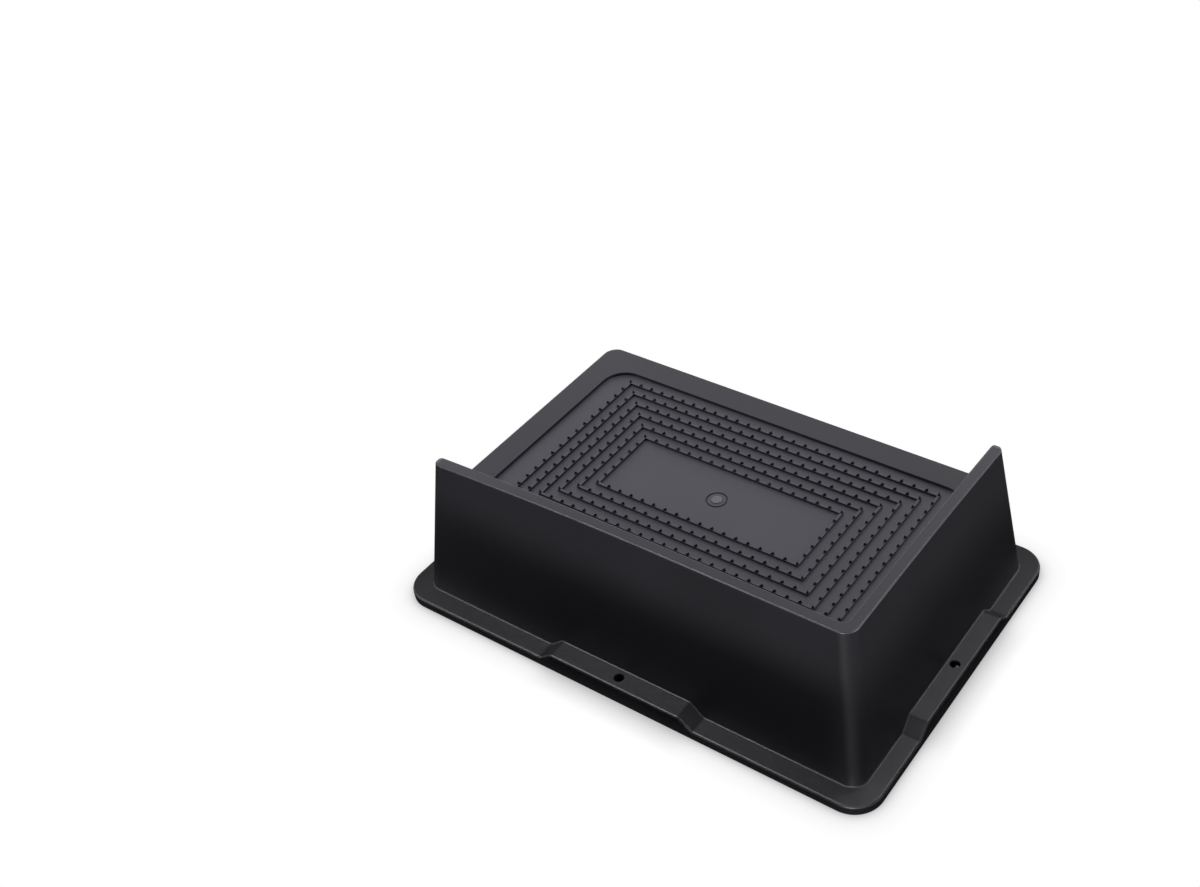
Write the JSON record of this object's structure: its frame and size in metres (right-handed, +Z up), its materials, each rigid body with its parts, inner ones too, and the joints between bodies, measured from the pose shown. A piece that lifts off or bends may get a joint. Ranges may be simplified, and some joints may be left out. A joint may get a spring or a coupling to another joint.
{
  "type": "bed riser",
  "caption": "Moulded hollow riser block with a toothed deck for a furniture leg, an L-shaped retaining wall and a flange with screw holes.",
  "frame": {"origin": "on the floor, under the centre of the flange", "axes": "+X along the long side towards the side wall, +Y away from the front wall, +Z up"},
  "size_m": [0.254, 0.175, 0.081],
  "materials": {
    "black_plastic": "satin moulded black plastic with a fine-textured tread panel"
  },
  "bodies": {
    "root": {"riser": "black_plastic"}
  },
  "joints": []
}
